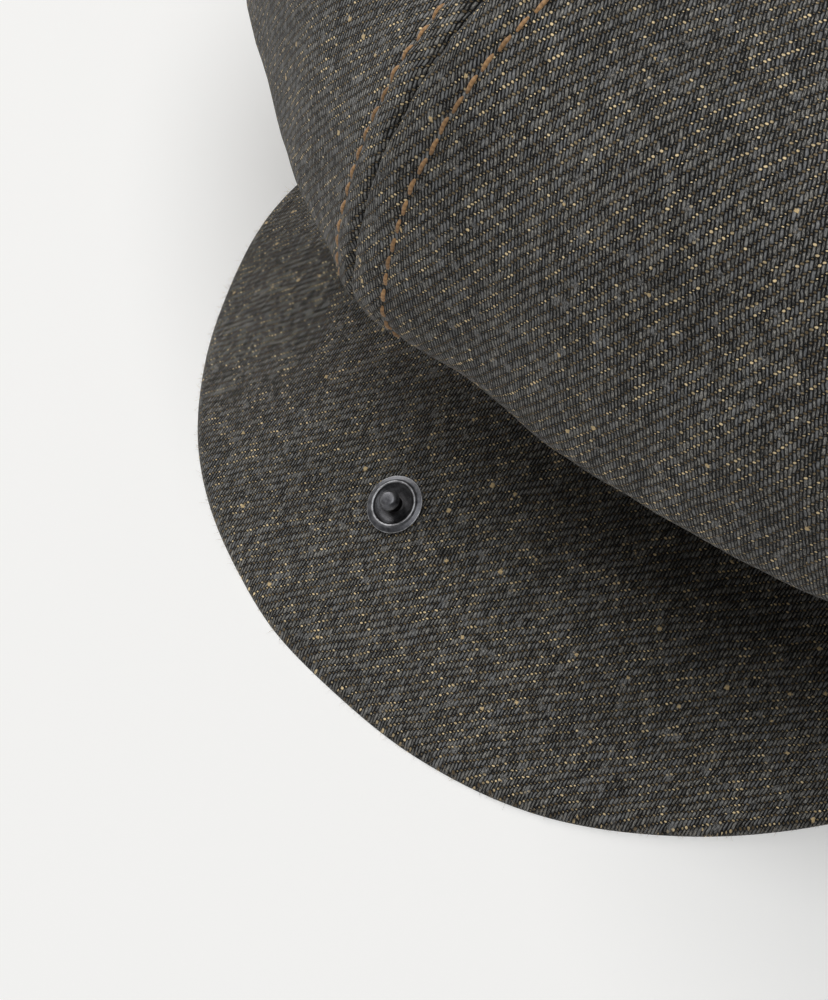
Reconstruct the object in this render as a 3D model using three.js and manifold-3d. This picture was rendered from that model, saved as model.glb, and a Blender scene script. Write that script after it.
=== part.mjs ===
// A soft eight-panel work cap with an arched peak and a snap stud, as it rests on a table.
// Sizes are in millimetres. +Z is up, -Y is the front of the cap, and the table is at z = 0.
import * as THREE from "three";
import { mergeVertices } from "three/addons/utils/BufferGeometryUtils.js";
import Module from "manifold-3d";

const wasm = await Module();
wasm.setup();

const { degToRad, lerp, smoothstep } = THREE.MathUtils;

// The head opening is an oval in a plane that leans back: high over the peak, on the table behind.
const HEAD_Y = 5;
const HEAD_Z = 14.7;
const HEAD_TILT = degToRad(8.9);

const BAND_HALF_WIDTH = 85;
const BAND_HALF_LENGTH = 101;
const BAND_HEIGHT = 38;
const BAND_WALL = 2.4;

const PANEL_COUNT = 8;
const CROWN_WALL = 2;
const CROWN_HALF_WIDTH = 134;
const CROWN_FRONT_REACH = 144.4;
const CROWN_BACK_REACH = 138;
const CROWN_SQUARENESS = 2.1;
const CROWN_TOP = 123;
const CROWN_TOP_RADIUS = 5;
const UNDERSIDE_SQUARENESS = 3.6;
const UNDERSIDE_SAG = 3;
const SHOULDER_SQUARENESS = 2.7;

// The seam allowances hold the cloth up in a ridge along each seam.
const SEAM_RIDGE = 3.2;
const SEAM_RIDGE_WIDTH = 15;
const RIDGE_FADE = { band: 0.2, top: 0.35 };
const DENT_FADE = { band: 0.15, top: 0.1 };

const PEAK_WALL = 2.6;
const PEAK_HALF_WIDTH = 95.8;
const PEAK_TIP_FROM_HEAD = 158.3;
const PEAK_WIDEST_FROM_HEAD = 70.8;
const PEAK_HORN_LENGTH = 50;
const PEAK_SQUARENESS = 1.9;
const PEAK_SEAM_SPREAD = degToRad(60);
const PEAK_EDGE_SPREAD = degToRad(122);
const PEAK_SEAM_HEIGHT = 1.8;
const PEAK_BELLY = 0.8;
const PEAK_EDGE_HEIGHT = 2;
const PEAK_CLIMB_FROM = degToRad(78);
const PEAK_CLIMB_TO = degToRad(132);
const PEAK_RIM_START = 0.95;
const PEAK_RIM_CUT = 0.3;
const PEAK_STEEPEST = 0.55;

const STUD_FROM_HEAD = 129.5;
const STUD_RADIUS = 5.5;
const SHANK_RADIUS = 1.3;
const SOCKET_REACH = 0.56;

const BUTTON_RADIUS = 9;
const BUTTON_HEIGHT = 5;
const BUTTON_RIM = 0.4;

// Pieces that touch keep this gap.
const GAP = 0.3;

// How high the crown is at its widest, going round from the front (0) to the back (180).
const widestHeight = [
  { azimuth: 0, height: 56.5 },
  { azimuth: 45, height: 52 },
  { azimuth: 90, height: 47 },
  { azimuth: 135, height: 50 },
  { azimuth: 180, height: 55 },
];

// Soft hollows and swells of the resting crown. Stage runs from 0 at the band over 0.3 at the
// widest line to 1 at the top; depth is positive where the cloth sinks in.
const dents = [
  { azimuth: 12, stage: 0.3, halfAngle: 7, halfStage: 0.16, depth: 1 },
  { azimuth: -22, stage: 0.3, halfAngle: 9, halfStage: 0.16, depth: 1.2 },
  { azimuth: 38, stage: 0.32, halfAngle: 12, halfStage: 0.2, depth: -1.2 },
  { azimuth: 72, stage: 0.66, halfAngle: 26, halfStage: 0.14, depth: 4.5 },
  { azimuth: -66, stage: 0.6, halfAngle: 24, halfStage: 0.15, depth: 5 },
  { azimuth: 112, stage: 0.42, halfAngle: 13, halfStage: 0.16, depth: 3.5 },
  { azimuth: -118, stage: 0.4, halfAngle: 15, halfStage: 0.18, depth: 4 },
  { azimuth: 158, stage: 0.5, halfAngle: 20, halfStage: 0.2, depth: 4.5 },
  { azimuth: -160, stage: 0.74, halfAngle: 30, halfStage: 0.13, depth: 4 },
];

const WIDEST_STAGE = 0.3;
const SECTION_STEPS = 40;
const UNDERSIDE_ROWS = 8;
const TOP_ROWS = 12;
const TOP_ROW_EASING = 1.25;
const PANEL_COLUMNS = 9;
const BAND_COLUMNS = 96;
const PEAK_COLUMNS = 44;
const PEAK_ROWS = 11;
const PEAK_ROW_EASING = 1.3;
const LATHE_SEGMENTS = 28;
const HOLE_SEGMENTS = 14;
const BUTTON_STEPS = 6;

function material(color, roughness, metalness = 0) {
  return new THREE.MeshStandardMaterial({ color, roughness, metalness });
}

const twill = material(0x4a4946, 0.95);
const gunmetal = material(0x4b4c52, 0.35, 0.9);

// A place on the leaning head plane (x, along, up) in the cap's own frame.
function fromHeadPlane(x, along, up) {
  const cos = Math.cos(HEAD_TILT);
  const sin = Math.sin(HEAD_TILT);
  return new THREE.Vector3(
    x,
    HEAD_Y + along * cos + up * sin,
    HEAD_Z - along * sin + up * cos,
  );
}

// The distance from the centre to an oval's rim, at an azimuth counted from the front.
function ovalRadius(azimuth, halfWidth, halfLength, squareness = 2) {
  const across = Math.abs(Math.sin(azimuth)) / halfWidth;
  const along = Math.abs(Math.cos(azimuth)) / halfLength;
  return (across ** squareness + along ** squareness) ** (-1 / squareness);
}

function bell(distance, halfWidth) {
  return Math.exp(-((distance / halfWidth) ** 2));
}

// A height from the table widestHeight, eased between its rows.
function widestHeightAt(azimuth) {
  const degrees = THREE.MathUtils.radToDeg(Math.abs(wrapAngle(azimuth)));
  const next = widestHeight.findIndex((row) => row.azimuth >= degrees);
  if (next <= 0) return widestHeight[0].height;
  const low = widestHeight[next - 1];
  const high = widestHeight[next];
  const share = smoothstep(degrees, low.azimuth, high.azimuth);
  return lerp(low.height, high.height, share);
}

// The same angle between -180 and 180 degrees.
function wrapAngle(angle) {
  return Math.atan2(Math.sin(angle), Math.cos(angle));
}

// The crown's section at one azimuth, as curves of (distance out, height above the head plane):
// the underside from the band out to the widest line, and the top from there in to the centre.
function crownSection(azimuth) {
  const halfLength = Math.cos(azimuth) > 0 ? CROWN_FRONT_REACH : CROWN_BACK_REACH;
  const reach = ovalRadius(azimuth, CROWN_HALF_WIDTH, halfLength, CROWN_SQUARENESS);
  const start = ovalRadius(
    azimuth,
    BAND_HALF_WIDTH - BAND_WALL,
    BAND_HALF_LENGTH - BAND_WALL,
  );
  const foot = BAND_HEIGHT + GAP;
  const widest = widestHeightAt(azimuth);
  const underside = [];
  const top = [];
  for (let i = 0; i <= SECTION_STEPS; i++) {
    const turn = ((i / SECTION_STEPS) * Math.PI) / 2;
    const out = Math.sin(turn) ** (2 / UNDERSIDE_SQUARENESS);
    const rise = 1 - Math.cos(turn) ** (2 / UNDERSIDE_SQUARENESS);
    const sag = UNDERSIDE_SAG * Math.sin(Math.PI * out) ** 3;
    underside.push(
      new THREE.Vector2(lerp(start, reach, out), lerp(foot, widest, rise) - sag),
    );
    const inward = Math.cos(turn) ** (2 / SHOULDER_SQUARENESS);
    const up = Math.sin(turn) ** (2 / SHOULDER_SQUARENESS);
    top.push(
      new THREE.Vector2(
        lerp(CROWN_TOP_RADIUS, reach, inward),
        lerp(widest, CROWN_TOP, up),
      ),
    );
  }
  return {
    underside: new THREE.SplineCurve(underside),
    top: new THREE.SplineCurve(top),
  };
}

// The point and the outward direction of a section at a stage between the band and the top.
function sectionAt(section, stage) {
  const below = stage < WIDEST_STAGE;
  const curve = below ? section.underside : section.top;
  const share = below
    ? stage / WIDEST_STAGE
    : (stage - WIDEST_STAGE) / (1 - WIDEST_STAGE);
  const point = curve.getPointAt(share);
  const tangent = curve.getTangentAt(share);
  return { point, outward: new THREE.Vector2(tangent.y, -tangent.x) };
}

// A share that eases from 0 at the band to 1, and back to 0 at the top.
function fadeAtEnds(stage, fade) {
  return smoothstep(stage, 0, fade.band) * smoothstep(1 - stage, 0, fade.top);
}

// How far the cloth stands out of its plain section: seam ridges less the dents.
function crownRelief(azimuth, stage, distanceOut) {
  const pitch = (2 * Math.PI) / PANEL_COUNT;
  const toSeam = Math.abs(azimuth / pitch - Math.round(azimuth / pitch)) * pitch;
  const ridge = SEAM_RIDGE * bell(toSeam * distanceOut, SEAM_RIDGE_WIDTH);
  const sunk = dents.reduce((sum, dent) => {
    const turn = wrapAngle(azimuth - degToRad(dent.azimuth));
    const across = bell(turn, degToRad(dent.halfAngle));
    return sum + dent.depth * across * bell(stage - dent.stage, dent.halfStage);
  }, 0);
  return ridge * fadeAtEnds(stage, RIDGE_FADE) - sunk * fadeAtEnds(stage, DENT_FADE);
}

// A point of the crown's cloth, at a depth below its outer face and shifted sideways by inset.
function crownPoint(section, azimuth, stage, depth, inset = 0) {
  const { point, outward } = sectionAt(section, stage);
  const offset = crownRelief(azimuth, stage, point.x) - depth;
  const out = point.x + outward.x * offset;
  const up = point.y + outward.y * offset;
  const sin = Math.sin(azimuth);
  const cos = Math.cos(azimuth);
  return fromHeadPlane(out * sin + inset * cos, -out * cos + inset * sin, up);
}

// The rows of a panel, closer together round the widest line than on the flat top.
function crownStages() {
  const stages = [];
  for (let i = 0; i < UNDERSIDE_ROWS; i++)
    stages.push((WIDEST_STAGE * i) / UNDERSIDE_ROWS);
  for (let i = 0; i <= TOP_ROWS; i++)
    stages.push(lerp(WIDEST_STAGE, 1, (i / TOP_ROWS) ** TOP_ROW_EASING));
  return stages;
}

// A closed wall between two faces, each given as columns of points with as many rows.
function wallGeometry(outer, inner) {
  const columns = outer.length;
  const rows = outer[0].length;
  const positions = [...outer, ...inner].flatMap((column) =>
    column.flatMap((point) => point.toArray()),
  );
  const innerStart = columns * rows;
  const outside = (column, row) => column * rows + row;
  const inside = (column, row) => innerStart + column * rows + row;
  const index = [];
  const quad = (a, b, c, d) => index.push(a, b, c, a, c, d);
  for (let c = 0; c < columns - 1; c++) {
    for (let r = 0; r < rows - 1; r++) {
      quad(outside(c, r), outside(c + 1, r), outside(c + 1, r + 1), outside(c, r + 1));
      quad(inside(c, r), inside(c, r + 1), inside(c + 1, r + 1), inside(c + 1, r));
    }
    quad(outside(c, 0), inside(c, 0), inside(c + 1, 0), outside(c + 1, 0));
    const last = rows - 1;
    quad(outside(c, last), outside(c + 1, last), inside(c + 1, last), inside(c, last));
  }
  for (let r = 0; r < rows - 1; r++) {
    quad(outside(0, r), outside(0, r + 1), inside(0, r + 1), inside(0, r));
    const end = columns - 1;
    quad(outside(end, r), inside(end, r), inside(end, r + 1), outside(end, r + 1));
  }
  return new THREE.BufferGeometry()
    .setAttribute("position", new THREE.Float32BufferAttribute(positions, 3))
    .setIndex(index);
}

// A closed ring through a loop of section points at each column.
function ringGeometry(columns) {
  const count = columns.length;
  const size = columns[0].length;
  const positions = columns.flatMap((column) =>
    column.flatMap((point) => point.toArray()),
  );
  const index = [];
  for (let c = 0; c < count; c++) {
    const next = (c + 1) % count;
    for (let r = 0; r < size; r++) {
      const up = (r + 1) % size;
      const corners = [
        c * size + r,
        next * size + r,
        next * size + up,
        c * size + up,
      ];
      index.push(corners[0], corners[1], corners[2]);
      index.push(corners[0], corners[2], corners[3]);
    }
  }
  return new THREE.BufferGeometry()
    .setAttribute("position", new THREE.Float32BufferAttribute(positions, 3))
    .setIndex(index);
}

function named(name, geometry, surface) {
  const mesh = new THREE.Mesh(geometry, surface);
  mesh.name = name;
  return mesh;
}

// One gore of the crown, between two seams.
function crownPanel(number) {
  const pitch = (2 * Math.PI) / PANEL_COUNT;
  const stages = crownStages();
  const outer = [];
  const inner = [];
  for (let column = 0; column <= PANEL_COLUMNS; column++) {
    const azimuth = pitch * (number - 1 + column / PANEL_COLUMNS);
    const section = crownSection(azimuth);
    const isFirst = column === 0;
    const isLast = column === PANEL_COLUMNS;
    const inset = (isFirst ? GAP / 2 : 0) - (isLast ? GAP / 2 : 0);
    outer.push(stages.map((s) => crownPoint(section, azimuth, s, 0, inset)));
    inner.push(stages.map((s) => crownPoint(section, azimuth, s, CROWN_WALL, inset)));
  }
  return named("crown_panel_" + number, wallGeometry(outer, inner), twill);
}

// The headband. The stretch that would dip below the table is pressed flat on it.
function band() {
  const columns = [];
  for (let i = 0; i < BAND_COLUMNS; i++) {
    const azimuth = (i / BAND_COLUMNS) * 2 * Math.PI;
    const point = (inset, up) => {
      const radius = ovalRadius(
        azimuth,
        BAND_HALF_WIDTH - inset,
        BAND_HALF_LENGTH - inset,
      );
      const placed = fromHeadPlane(
        radius * Math.sin(azimuth),
        -radius * Math.cos(azimuth),
        up,
      );
      placed.z = Math.max(placed.z, 0);
      return placed;
    };
    columns.push([
      point(0, 0),
      point(0, BAND_HEIGHT / 2),
      point(0, BAND_HEIGHT),
      point(BAND_WALL, BAND_HEIGHT),
      point(BAND_WALL, BAND_HEIGHT / 2),
      point(BAND_WALL, 0),
    ]);
  }
  return named("band", ringGeometry(columns), twill);
}

// A point of the peak's upper face: across runs from -1 to 1 between the two horns, and out
// from 0 at the band to 1 at the edge.
function peakTop(across, out) {
  const seamAngle = across * PEAK_SEAM_SPREAD;
  const seamRadius = ovalRadius(
    seamAngle,
    BAND_HALF_WIDTH + GAP,
    BAND_HALF_LENGTH + GAP,
  );
  const seam = fromHeadPlane(
    seamRadius * Math.sin(seamAngle),
    -seamRadius * Math.cos(seamAngle),
    PEAK_SEAM_HEIGHT,
  );
  const edgeAngle = across * PEAK_EDGE_SPREAD;
  const power = 2 / PEAK_SQUARENESS;
  const sideways = Math.sign(across) * Math.abs(Math.sin(edgeAngle)) ** power;
  const forward = Math.sign(Math.cos(edgeAngle)) * Math.abs(Math.cos(edgeAngle)) ** power;
  const length =
    forward > 0 ? PEAK_TIP_FROM_HEAD - PEAK_WIDEST_FROM_HEAD : PEAK_HORN_LENGTH;
  const hornEnd = fromHeadPlane(0, -BAND_HALF_LENGTH * Math.cos(PEAK_SEAM_SPREAD), 0).z;
  const climb = smoothstep(Math.abs(edgeAngle), PEAK_CLIMB_FROM, PEAK_CLIMB_TO);
  const edge = new THREE.Vector3(
    PEAK_HALF_WIDTH * sideways,
    HEAD_Y - PEAK_WIDEST_FROM_HEAD - length * forward,
    PEAK_EDGE_HEIGHT + hornEnd * climb,
  );
  const point = seam.lerp(edge, out);
  point.z += PEAK_BELLY * Math.sin(Math.PI * out) * (1 - Math.abs(across));
  return point;
}

function peakNormal(across, out) {
  const step = 0.01;
  const a = Math.min(Math.max(across, step - 1), 1 - step);
  const o = Math.min(Math.max(out, step), 1 - step);
  const side = peakTop(a + step, o).sub(peakTop(a - step, o));
  const fore = peakTop(a, o + step).sub(peakTop(a, o - step));
  return fore.cross(side).normalize();
}

// The crescent peak. Its wall thins to a rounded rim over the last few millimetres.
function peak() {
  const up = fromHeadPlane(0, 0, 1).sub(fromHeadPlane(0, 0, 0));
  const upper = [];
  const lower = [];
  for (let column = 0; column <= PEAK_COLUMNS; column++) {
    const across = 1 - (2 * column) / PEAK_COLUMNS;
    const above = [];
    const below = [];
    for (let row = 0; row <= PEAK_ROWS; row++) {
      const out = 1 - (1 - row / PEAK_ROWS) ** PEAK_ROW_EASING;
      const lean = Math.max(peakNormal(across, out).dot(up), PEAK_STEEPEST);
      const drop = PEAK_WALL / lean;
      const rim = PEAK_RIM_CUT * smoothstep(out, PEAK_RIM_START, 1);
      const top = peakTop(across, out);
      above.push(top.clone().addScaledVector(up, -drop * rim));
      const under = top.addScaledVector(up, -drop * (1 - rim));
      under.z = Math.max(under.z, 0);
      below.push(under);
    }
    upper.push(above);
    lower.push(below);
  }
  return wallGeometry(upper, lower);
}

// Puts a piece on a face: its origin at the point, and its own +Z along the face's normal.
function placeOn(piece, point, normal) {
  piece.position.copy(point);
  piece.quaternion.setFromUnitVectors(new THREE.Vector3(0, 0, 1), normal);
  return piece;
}

// A turned piece about its own Z axis, from rows of radius and height.
function turned(profile) {
  const points = profile.map((row) => new THREE.Vector2(row.radius, row.height));
  return new THREE.LatheGeometry(points, LATHE_SEGMENTS).rotateX(Math.PI / 2);
}

// The place of the stud: the point of the peak's upper face above a given distance from the head.
function studPlace() {
  let low = 0;
  let high = 1;
  for (let i = 0; i < 30; i++) {
    const middle = (low + high) / 2;
    if (HEAD_Y - peakTop(0, middle).y < STUD_FROM_HEAD) low = middle;
    else high = middle;
  }
  return { point: peakTop(0, low), normal: peakNormal(0, low) };
}

// The male half of the snap: a flange, a raised ring round a cup, and a post with a round head.
function snapStud() {
  const profile = [
    { radius: 0, height: 0 },
    { radius: STUD_RADIUS - 0.3, height: 0 },
    { radius: STUD_RADIUS, height: 0.2 },
    { radius: STUD_RADIUS - 0.1, height: 0.5 },
    { radius: 4.75, height: 0.9 },
    { radius: 4.45, height: 1.3 },
    { radius: 4.15, height: 1.3 },
    { radius: 3.85, height: 0.9 },
    { radius: 3.6, height: 0.5 },
    { radius: 1.7, height: 0.5 },
    { radius: 1.5, height: 0.9 },
    { radius: 1.45, height: 3 },
    { radius: 1.7, height: 3.6 },
    { radius: 1.6, height: 4.2 },
    { radius: 1.1, height: 4.6 },
    { radius: 0, height: 4.7 },
  ];
  return named("snap_stud", turned(profile), gunmetal);
}

// The plain cap under the peak, with the shank that holds the stud.
function snapBack() {
  const face = -PEAK_WALL - 2 * GAP;
  const profile = [
    { radius: 0, height: face - 1.2 },
    { radius: STUD_RADIUS - 1, height: face - 1.2 },
    { radius: STUD_RADIUS, height: face - 0.6 },
    { radius: STUD_RADIUS, height: face },
    { radius: SHANK_RADIUS, height: face },
    { radius: SHANK_RADIUS, height: -GAP },
    { radius: 0, height: -GAP },
  ];
  return named("snap_back", turned(profile), gunmetal);
}

// The plain female half under the crown, open downwards for the post.
function snapSocket() {
  const profile = [
    { radius: 0, height: GAP },
    { radius: STUD_RADIUS, height: GAP },
    { radius: STUD_RADIUS, height: GAP + 0.7 },
    { radius: 3.6, height: GAP + 2.6 },
    { radius: 2.1, height: GAP + 2.6 },
    { radius: 2, height: GAP + 0.8 },
    { radius: 0, height: GAP + 0.8 },
  ];
  return named("snap_socket", turned(profile), gunmetal);
}

// The covered button over the point where the panels meet.
function topButton() {
  const profile = [{ radius: 0, height: GAP }];
  for (let i = 0; i <= BUTTON_STEPS; i++) {
    const turn = ((i / BUTTON_STEPS) * Math.PI) / 2;
    profile.push({
      radius: i < BUTTON_STEPS ? BUTTON_RADIUS * Math.cos(turn) ** 0.6 : 0,
      height: GAP + lerp(BUTTON_RIM, BUTTON_HEIGHT, Math.sin(turn)),
    });
  }
  return named("top_button", turned(profile), twill);
}

// A closed geometry as a solid that can be cut.
function solidOf(geometry) {
  const bare = geometry.clone();
  bare.deleteAttribute("normal");
  bare.deleteAttribute("uv");
  const merged = mergeVertices(bare, 1e-4);
  return new wasm.Manifold(
    new wasm.Mesh({
      numProp: 3,
      vertProperties: new Float32Array(merged.getAttribute("position").array),
      triVerts: new Uint32Array(merged.index.array),
    }),
  );
}

function geometryOf(solid) {
  const { vertProperties, triVerts } = solid.getMesh();
  return new THREE.BufferGeometry()
    .setAttribute("position", new THREE.BufferAttribute(vertProperties, 3))
    .setIndex(new THREE.BufferAttribute(triVerts, 1));
}

// The peak with the hole that the stud's shank goes through.
function piercedPeak(stud) {
  const hole = new THREE.CylinderGeometry(
    SHANK_RADIUS + GAP,
    SHANK_RADIUS + GAP,
    6 * PEAK_WALL,
    HOLE_SEGMENTS,
  ).rotateX(Math.PI / 2);
  const place = placeOn(new THREE.Object3D(), stud.point, stud.normal);
  place.updateMatrix();
  const cut = solidOf(peak()).subtract(solidOf(hole.applyMatrix4(place.matrix)));
  return named("peak", geometryOf(cut), twill);
}

const cap = new THREE.Group();

for (let number = 1; number <= PANEL_COUNT; number++) cap.add(crownPanel(number));
cap.add(band());

const stud = studPlace();
cap.add(piercedPeak(stud));

// Both metal parts on the peak share the stud's axis. The stud stands a gap above the cloth.
const snap = placeOn(new THREE.Group(), stud.point, stud.normal);
const studMesh = snapStud();
studMesh.position.z = GAP;
snap.add(studMesh, snapBack());
cap.add(snap);

// The socket hangs under the crown's overhang, on the front seam.
const front = crownSection(0);
const socketStage = WIDEST_STAGE * SOCKET_REACH;
const socketFoot = crownPoint(front, 0, socketStage, 0);
const socketNormal = crownPoint(front, 0, socketStage, -1).sub(socketFoot).normalize();
cap.add(placeOn(snapSocket(), socketFoot, socketNormal));

// The button sits on the crown's top, square to the head plane.
const headUp = fromHeadPlane(0, 0, 1).sub(fromHeadPlane(0, 0, 0));
cap.add(placeOn(topButton(), fromHeadPlane(0, 0, CROWN_TOP), headUp));

export default cap;
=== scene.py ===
"""The looks of a soft eight-panel work cap with an arched peak and a snap stud.

Lengths are in millimetres while a shape is worked out, and in metres once it is a mesh.
"""
import math

import bpy
import numpy as np
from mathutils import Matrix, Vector


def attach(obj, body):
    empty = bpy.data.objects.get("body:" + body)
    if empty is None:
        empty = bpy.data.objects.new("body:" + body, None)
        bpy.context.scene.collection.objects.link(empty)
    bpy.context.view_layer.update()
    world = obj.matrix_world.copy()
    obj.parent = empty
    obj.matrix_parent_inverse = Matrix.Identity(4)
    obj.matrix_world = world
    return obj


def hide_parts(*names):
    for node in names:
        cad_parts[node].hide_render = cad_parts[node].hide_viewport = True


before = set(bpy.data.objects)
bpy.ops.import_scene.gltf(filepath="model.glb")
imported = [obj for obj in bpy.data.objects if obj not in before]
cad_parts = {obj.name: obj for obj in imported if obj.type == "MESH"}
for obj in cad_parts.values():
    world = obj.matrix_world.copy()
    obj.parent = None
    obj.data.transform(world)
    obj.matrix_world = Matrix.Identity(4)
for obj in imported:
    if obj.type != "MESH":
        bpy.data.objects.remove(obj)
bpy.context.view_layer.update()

MM = 0.001

# The head plane, the band, the crown and the peak, as the frame has them.
HEAD_Y = 5.0
HEAD_Z = 14.7
HEAD_TILT = math.radians(8.9)

BAND_HALF_WIDTH = 85.0
BAND_HALF_LENGTH = 101.0
BAND_HEIGHT = 38.0
BAND_WALL = 2.4

PANEL_COUNT = 8
PITCH = 2 * math.pi / PANEL_COUNT
CROWN_WALL = 2.0
CROWN_HALF_WIDTH = 134.0
CROWN_FRONT_REACH = 144.4
CROWN_BACK_REACH = 138.0
CROWN_SQUARENESS = 2.1
CROWN_TOP = 123.0
CROWN_TOP_RADIUS = 5.0
UNDERSIDE_SQUARENESS = 3.6
UNDERSIDE_SAG = 3.0
SHOULDER_SQUARENESS = 2.7
WIDEST_STAGE = 0.3

SEAM_RIDGE = 3.2
SEAM_RIDGE_WIDTH = 15.0
RIDGE_FADE = (0.2, 0.35)
DENT_FADE = (0.15, 0.1)

PEAK_WALL = 2.6
PEAK_HALF_WIDTH = 95.8
PEAK_TIP_FROM_HEAD = 158.3
PEAK_WIDEST_FROM_HEAD = 70.8
PEAK_HORN_LENGTH = 50.0
PEAK_SQUARENESS = 1.9
PEAK_SEAM_SPREAD = math.radians(60)
PEAK_EDGE_SPREAD = math.radians(122)
PEAK_SEAM_HEIGHT = 1.8
PEAK_BELLY = 0.8
PEAK_EDGE_HEIGHT = 2.0
PEAK_CLIMB = (math.radians(78), math.radians(132))
PEAK_STEEPEST = 0.55
PEAK_ARCH_RADIUS = 161.7
PEAK_SLOPE = math.radians(29.3)

STUD_FROM_HEAD = 129.5
# Bends over which sharp outward edges turn brighter: edge wear and a painted highlight.
WORN_HIGHLIGHT_BEND = (0.6, 3.2)
SOCKET_STAGE = 0.56 * WIDEST_STAGE
BUTTON_RADIUS = 9.0
BUTTON_HEIGHT = 5.0
GAP = 0.3

# How finely the dressed pieces are cut.
SECTION_STEPS = 160
PANEL_HALF_STEPS = 26
UNDERSIDE_ROWS = 62
TOP_ROWS = 205
BAND_COLUMNS = 288
PEAK_COLUMNS = 300
PEAK_ROWS = 92
PEAK_ROW_EASING = 1.7

# Azimuth round the crown, and its height where it is widest.
WIDEST_HEIGHT = [(0, 56.5), (45, 52), (90, 47), (135, 50), (180, 55)]

# Azimuth, stage, half angle, half stage and depth of each soft hollow or swell of the crown.
DENTS = [
    (12, 0.30, 7, 0.16, 1.0),
    (-22, 0.30, 9, 0.16, 1.2),
    (38, 0.32, 12, 0.20, -1.2),
    (72, 0.66, 26, 0.14, 4.5),
    (-66, 0.60, 24, 0.15, 5.0),
    (112, 0.42, 13, 0.16, 3.5),
    (-118, 0.40, 15, 0.18, 4.0),
    (158, 0.50, 20, 0.20, 4.5),
    (-160, 0.74, 30, 0.13, 4.0),
]

# The same five numbers for the slight folds that only the dressed cloth has.
SOFT_FOLDS = [
    (26, 0.50, 25, 0.05, -2.2),
    (26, 0.40, 25, 0.045, 1.7),
]

# Place across the peak, and how far its sewn edge strays there from an even curve.
EDGE_STRAY = [
    (-1, 0),
    (-0.65, 0.5),
    (-0.55, 0.7),
    (-0.42, -0.35),
    (-0.33, 0),
    (-0.22, 0.5),
    (-0.16, 0.15),
    (-0.07, -0.7),
    (0, -0.75),
    (0.1, -1.0),
    (0.2, 0.1),
    (0.32, 0.95),
    (0.45, -0.25),
    (0.55, -0.9),
    (0.7, -0.4),
    (1, 0),
]

# Shares from the peak's seam to its edge over which the straying comes in.
EDGE_STRAY_FADE = (0.2, 1.0)

# Azimuth, and how far the crown's lower fold strays there from an even curve.
FOLD_STRAY = [
    (-60, 0),
    (-29, -0.1),
    (-19, -1.0),
    (-14, -1.0),
    (-9, 0.1),
    (-3, -0.9),
    (6, 0),
    (12, -0.6),
    (17, -0.35),
    (23, -1.2),
    (29, -0.75),
    (36, -0.5),
    (60, 0),
]
FOLD_STAGE = 0.26
FOLD_HALF_STAGE = 0.12

# The weave: thread spacings, and how far the grain of each kind of piece is turned.
WARP_PITCH = 0.583
WEFT_PITCH = 0.445
PEAK_GRAIN = 0.342
PANEL_GRAIN = 0.35

# How far apart two panels, and the two faces of the peak, lie on the flat cloth.
PANEL_CLOTH_STEP = 61.7
LOWER_FACE_CLOTH_STEP = 37.0

# Height, length and seed of the cloth's slight waves, and how much a place's height counts.
CROWN_WAVES = [(0.45, 46.0, 5), (0.16, 17.0, 6)]
CROWN_WAVE_RISE = 0.7
BAND_WAVES = [(0.5, 60.0, 9)]
BAND_WAVE_SQUEEZE = 1.5
PEAK_WAVES = [(0.28, 30.0, 21), (0.1, 9.0, 22)]

# Stages over which the cloth's own relief comes in at the foot and at the top.
RELIEF_FOOT = (0.02, 0.1)
RELIEF_TOP = (0.0, 0.05)

# The worked seam: its sunk join, its padded allowances, and the groove of each stitch row.
JOIN_DEPTH, JOIN_HALF_WIDTH = 0.6, 0.5
PADDING_HEIGHT = 0.45
PADDING_START = (0.2, 1.4)
PADDING_END = (-1.0, 0.8)
GROOVE_DEPTH, GROOVE_HALF_WIDTH = 0.42, 0.75
PULL_DEPTH, PULL_HALF_WIDTH = 0.22, 1.9

# Height, length, distance from the seam and half width of its puckers.
PUCKER = (0.34, 13.0, 4.0, 6.0)
FINE_PUCKER = (0.13, 5.0, 3.0, 5.0)

# The stitch row before each seam, going round, lies nearer to it than the row after.
STITCH_FROM_SEAM = (5.2, 7.7)
STITCHED_STAGES = (0.012, 0.985)
STITCH_PITCH = 3.6
STITCH_LENGTH = 3.3
STITCH_RADIUS = 0.34
ROW_SWAY, ROW_SWAY_STEP = 0.12, 9.0
ROW_END_SPACE = 1.5
THREAD_ROWS_APART = 3.0

# How far a stitch's start and side stray, and its share of the full thickness.
STITCH_START_SPREAD = 0.06
STITCH_SIDE_SPREAD = 0.05
STITCH_SIZES = (0.92, 1.08)

# Height over the cloth and share of the radius, at even steps along one stitch.
STITCH_SHAPE = [
    (-0.42, 0.6),
    (0.02, 0.95),
    (0.16, 1),
    (0.2, 1),
    (0.16, 1),
    (0.02, 0.95),
    (-0.42, 0.6),
]

# Height, distance and half width of swells beside the stud and along the peak's edge.
STUD_DIMPLE = (-0.35, 7.0, 3.5)
EDGE_RIDGE = (0.16, 2.6, 1.4)
EDGE_GROOVE = (-0.12, 5.4, 1.3)

# Where the peak's waves start, from its edge in mm and from its seam as a share.
CALM_EDGE = (0.5, 9.0)
CALM_SEAM = (0, 0.15)
LOWER_FACE_WAVE_SHARE = 0.5
RIM_SHARE_OF_WALL = 0.55

# Fibres along the peak's edge: how many, how far round, how long and how thick.
FUZZ_COUNT = 1200
FUZZ_SPREAD = 0.97
FUZZ_LENGTH = (0.3, 1.4)
FUZZ_RADIUS = 0.022
FUZZ_INSET = 0.25
FUZZ_DEPTH = (0.2, 1.6)
FUZZ_LEAN = (-1.5, 1.5)
FUZZ_RISE = (-0.3, 0.8)
FUZZ_CURL = 0.35

# Share of a fibre's length, and its share of the radius there.
FUZZ_TAPER = [(0, 1.0), (0.35, 0.9), (0.7, 0.75), (1.0, 0.45)]

SEAM_SEED = 40
FINE_SEED_STEP = 30
STITCH_SEED = 100
FUZZ_SEED = 300


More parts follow.
